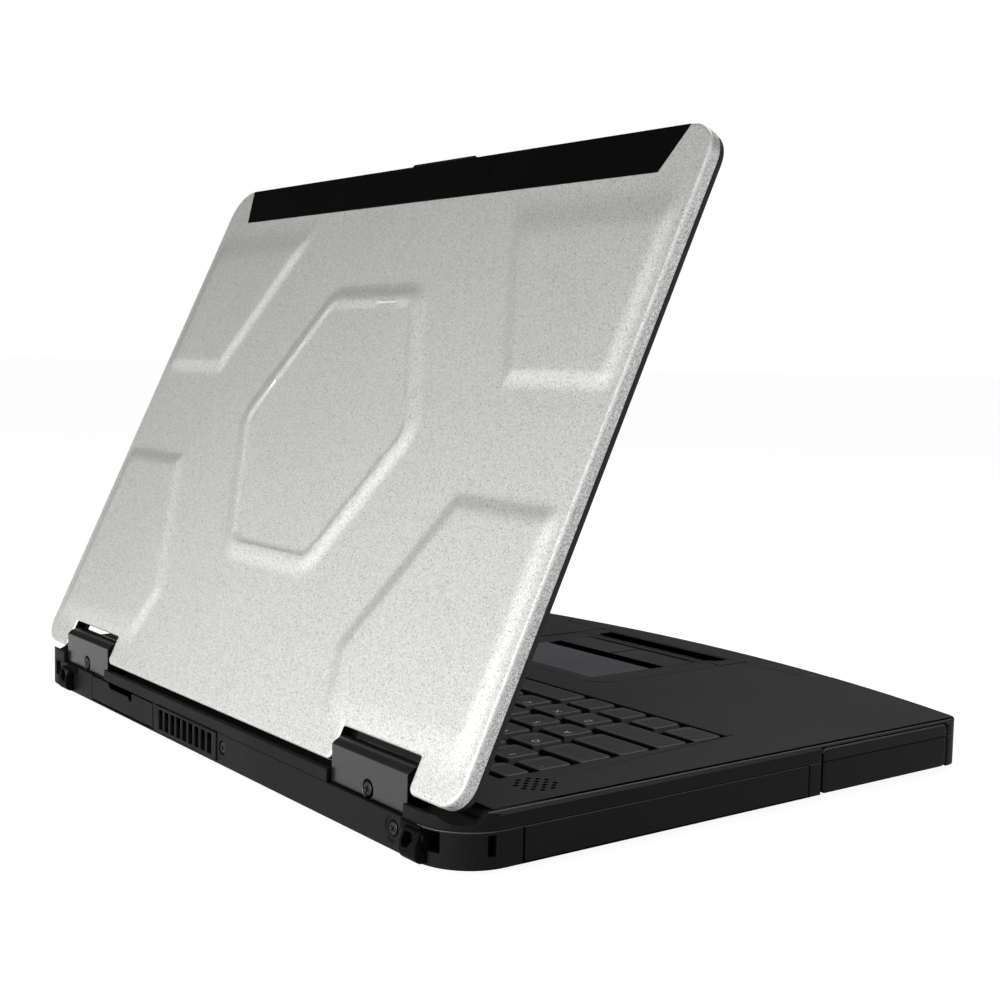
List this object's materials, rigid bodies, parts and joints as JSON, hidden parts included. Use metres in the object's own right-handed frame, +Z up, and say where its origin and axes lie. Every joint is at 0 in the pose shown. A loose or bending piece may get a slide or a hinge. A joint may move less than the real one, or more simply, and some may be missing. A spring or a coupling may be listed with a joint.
{
  "type": "laptop computer",
  "caption": "Rugged clamshell laptop, lid part open: silver lid with raised panels, dark base with keys, touchpad, side modules and front handle.",
  "frame": {"origin": "centre of the footprint, at the underside of the feet", "axes": "+X the user's right, -Y the user's side (front), +Y the hinge side, +Z up"},
  "size_m": [0.345, 0.2776, 0.241],
  "materials": {
    "case_plastic": "matt",
    "deck_plastic": "matt",
    "rubber": "matt",
    "hinge_grey": "satin",
    "dark_metal": "satin",
    "screw_steel": "satin",
    "black_plastic": "matt",
    "pad_plastic": "satin",
    "board_green": "matt",
    "copper": "satin",
    "key_plastic": "matt",
    "lid_silver": "metallic paint",
    "display_glass": "gloss",
    "strip_black": "satin"
  },
  "bodies": {
    "base": {"bottom_case": "case_plastic", "top_case": "deck_plastic", "rubber_feet": "rubber", "exhaust_grille": "case_plastic", "tether_loops": "case_plastic", "hinge_covers": "hinge_grey", "hinge_brackets": "dark_metal", "hinge_screws": "screw_steel", "back_screws": "screw_steel", "key_plate": "black_plastic", "touchpad": "pad_plastic", "latch_catch": "screw_steel", "main_board": "board_green", "processor": "dark_metal", "heat_sink": "copper", "fan_case": "black_plastic", "memory_module": "board_green", "back_ports": "screw_steel", "speakers": "black_plastic", "lock_slot": "screw_steel", "storage_caddy": "case_plastic", "side_ports": "screw_steel"},
    "fan": {"fan_rotor": "black_plastic"},
    "handle": {"front_handle": "case_plastic"},
    "left_button": {"button_left": "pad_plastic"},
    "right_button": {"button_right": "pad_plastic"},
    "power_key": {"power_button": "pad_plastic"},
    "front_row": {"keys_space_row": "key_plastic"},
    "space_key": {"space_bar": "key_plastic"},
    "shift_row": {"keys_shift_row": "key_plastic"},
    "middle_row": {"keys_caps_row": "key_plastic"},
    "tab_row": {"keys_tab_row": "key_plastic"},
    "number_row": {"keys_number_row": "key_plastic"},
    "function_row": {"keys_function_row": "key_plastic"},
    "back_door": {"port_door": "case_plastic"},
    "right_door": {"side_door": "case_plastic"},
    "battery_pack": {"battery": "black_plastic", "battery_end": "case_plastic"},
    "drive": {"optical_drive": "dark_metal", "drive_front": "case_plastic"},
    "battery_catch": {"battery_release": "pad_plastic"},
    "drive_catch": {"drive_release": "pad_plastic"},
    "lid": {"lid_shell": "lid_silver", "lid_frame": "black_plastic", "display_panel": "display_glass", "aerial_strip": "strip_black", "strip_middle": "strip_black", "hinge_arms": "screw_steel", "lid_bumpers": "rubber"},
    "latch": {"lid_latch": "screw_steel"}
  },
  "joints": [
    {"name": "lid_turn", "type": "hinge", "parent": "base", "child": "lid", "pos_m": [0, 0.12754, 0.0225], "axis": [-1, 0, 0], "range_deg": [-64.7, 85.3]},
    {"name": "latch_slide", "type": "slide", "parent": "lid", "child": "latch", "axis": [1, 0, 0], "range_m": [0, 0.004]},
    {"name": "handle_pull", "type": "slide", "parent": "base", "child": "handle", "axis": [0, -1, 0], "range_m": [0, 0.03]},
    {"name": "left_button_press", "type": "slide", "parent": "base", "child": "left_button", "axis": [0, 0, -1], "range_m": [0, 0.0008], "stiffness_N_per_m": 700, "springref_m": -0.0006},
    {"name": "right_button_press", "type": "slide", "parent": "base", "child": "right_button", "axis": [0, 0, -1], "range_m": [0, 0.0008], "stiffness_N_per_m": 700, "springref_m": -0.0006},
    {"name": "power_press", "type": "slide", "parent": "base", "child": "power_key", "axis": [0, 0, -1], "range_m": [0, 0.0008], "stiffness_N_per_m": 900, "springref_m": -0.0006},
    {"name": "front_row_press", "type": "slide", "parent": "base", "child": "front_row", "axis": [0, 0, -1], "range_m": [0, 0.0017], "stiffness_N_per_m": 700, "springref_m": -0.0012},
    {"name": "space_key_press", "type": "slide", "parent": "base", "child": "space_key", "axis": [0, 0, -1], "range_m": [0, 0.0017], "stiffness_N_per_m": 700, "springref_m": -0.0012},
    {"name": "shift_row_press", "type": "slide", "parent": "base", "child": "shift_row", "axis": [0, 0, -1], "range_m": [0, 0.0017], "stiffness_N_per_m": 700, "springref_m": -0.0012},
    {"name": "middle_row_press", "type": "slide", "parent": "base", "child": "middle_row", "axis": [0, 0, -1], "range_m": [0, 0.0017], "stiffness_N_per_m": 700, "springref_m": -0.0012},
    {"name": "tab_row_press", "type": "slide", "parent": "base", "child": "tab_row", "axis": [0, 0, -1], "range_m": [0, 0.0017], "stiffness_N_per_m": 700, "springref_m": -0.0012},
    {"name": "number_row_press", "type": "slide", "parent": "base", "child": "number_row", "axis": [0, 0, -1], "range_m": [0, 0.0017], "stiffness_N_per_m": 700, "springref_m": -0.0012},
    {"name": "function_row_press", "type": "slide", "parent": "base", "child": "function_row", "axis": [0, 0, -1], "range_m": [0, 0.0017], "stiffness_N_per_m": 700, "springref_m": -0.0012},
    {"name": "fan_spin", "type": "hinge", "parent": "base", "child": "fan", "pos_m": [0.014, 0.0908, 0.0045], "axis": [0, 0, 1], "continuous": true},
    {"name": "back_door_turn", "type": "hinge", "parent": "base", "child": "back_door", "pos_m": [0.0775, 0.134, 0.0035], "axis": [-1, 0, 0], "range_deg": [0, 85]},
    {"name": "right_door_turn", "type": "hinge", "parent": "base", "child": "right_door", "pos_m": [0.1717, 0.0212, 0.0035], "axis": [0, 1, 0], "range_deg": [0, 85]},
    {"name": "battery_pull", "type": "slide", "parent": "base", "child": "battery_pack", "axis": [-1, 0, 0], "range_m": [0, 0.09]},
    {"name": "drive_pull", "type": "slide", "parent": "base", "child": "drive", "axis": [-1, 0, 0], "range_m": [0, 0.11]},
    {"name": "battery_catch_slide", "type": "slide", "parent": "base", "child": "battery_catch", "axis": [1, 0, 0], "range_m": [0, 0.005]},
    {"name": "drive_catch_slide", "type": "slide", "parent": "base", "child": "drive_catch", "axis": [1, 0, 0], "range_m": [0, 0.005]}
  ]
}
